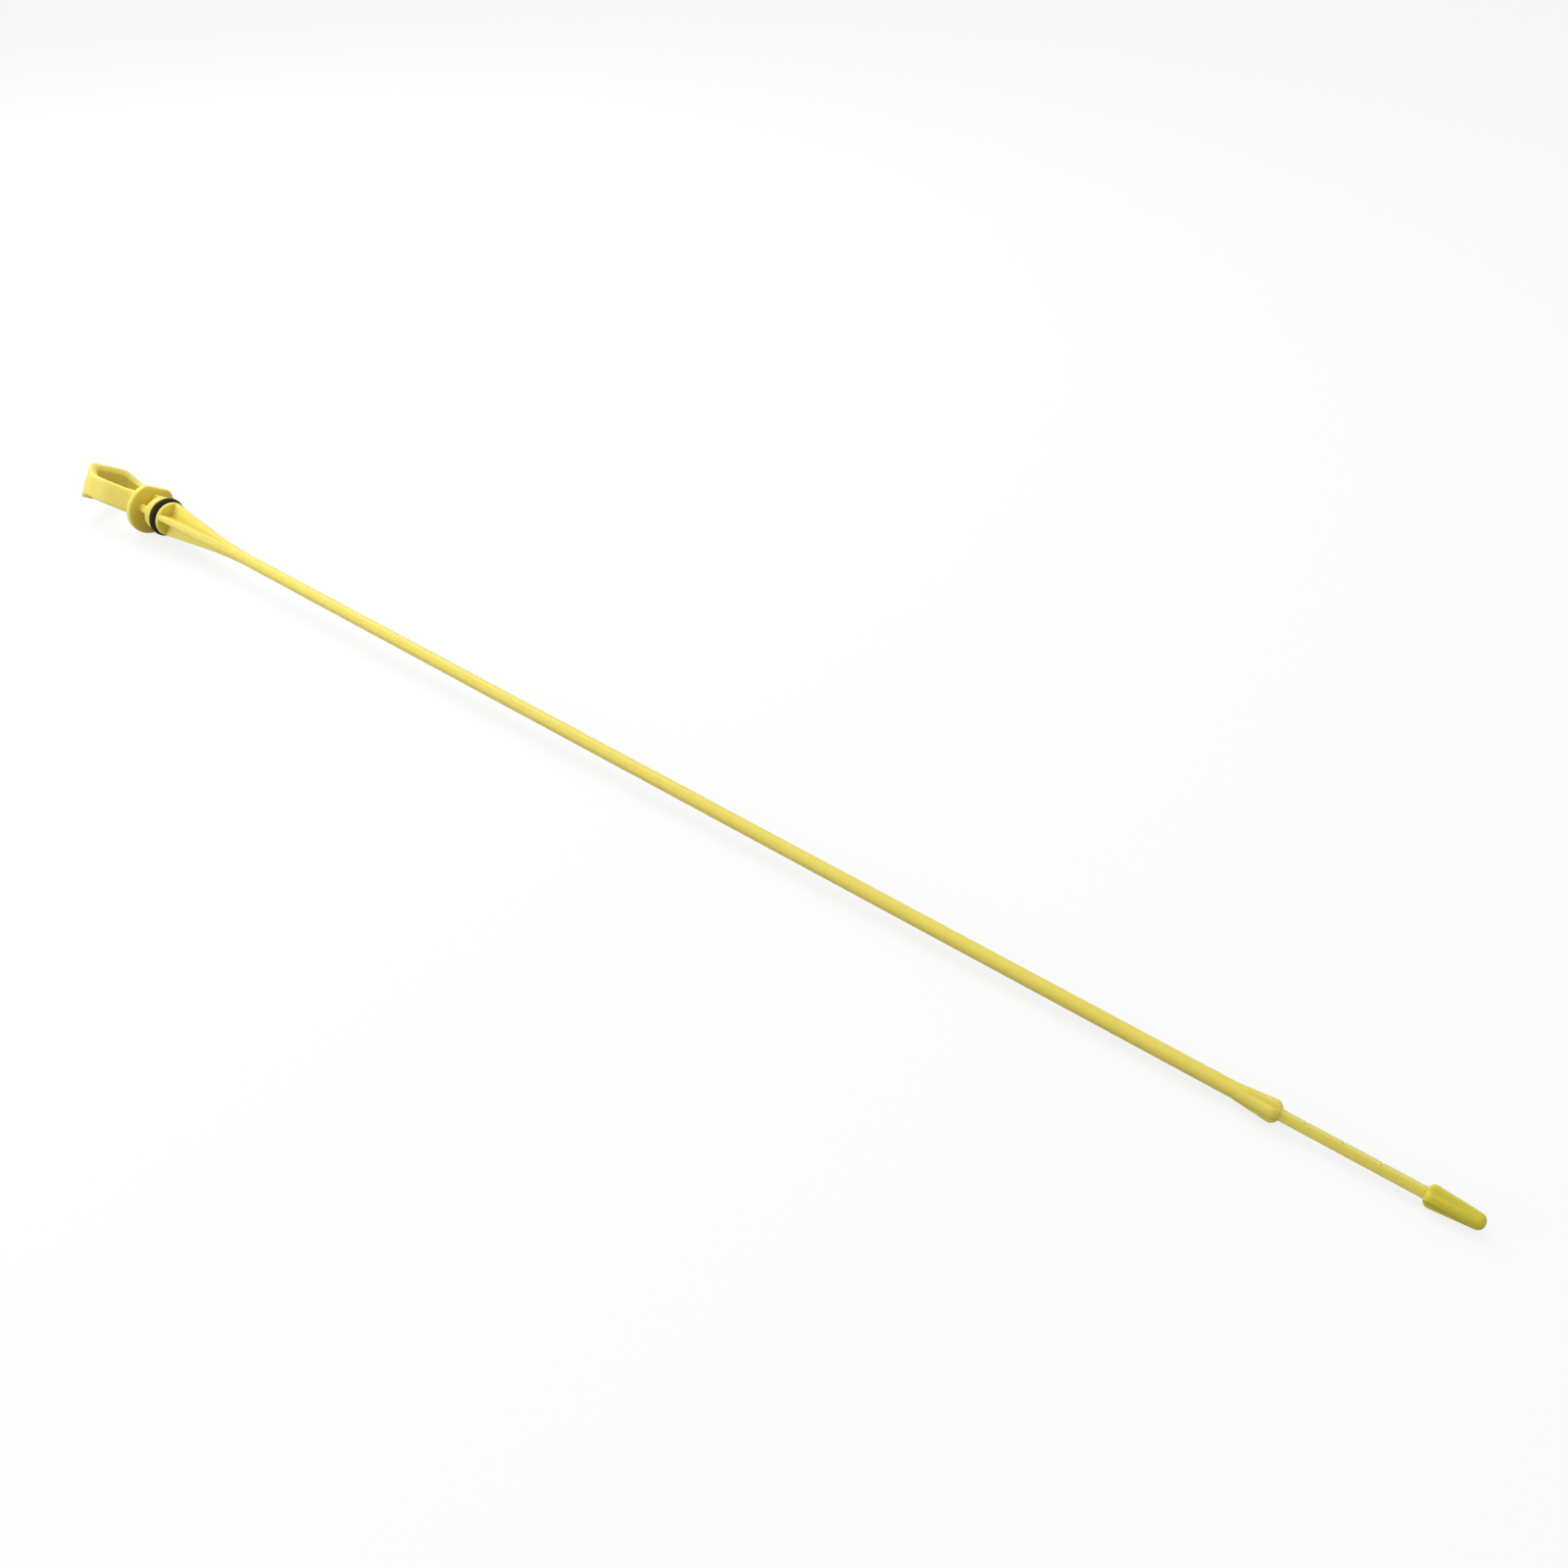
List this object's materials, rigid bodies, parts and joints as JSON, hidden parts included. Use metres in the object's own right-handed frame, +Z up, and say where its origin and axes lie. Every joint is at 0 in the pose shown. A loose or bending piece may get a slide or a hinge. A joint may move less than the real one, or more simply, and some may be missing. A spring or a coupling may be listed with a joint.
{
  "type": "engine oil dipstick",
  "caption": "Slim one-piece plastic oil level gauge: waisted finger-loop handle, stop flange, plug with a rubber sealing ring, ribbed flare, long round rod and notched square end.",
  "frame": {"origin": "middle of the bounding box, on the surface that it lies on", "axes": "+X runs along the rod from the loop handle to the tip, +Z is up as it lies at rest"},
  "size_m": [0.5004, 0.0232, 0.0187],
  "materials": {
    "yellow_plastic": "moulded satin plastic, yellow right through",
    "black_rubber": "smooth dark rubber with a slight sheen"
  },
  "bodies": {
    "root": {"dipstick_moulding": "yellow_plastic", "o_ring": "black_rubber"}
  },
  "joints": []
}
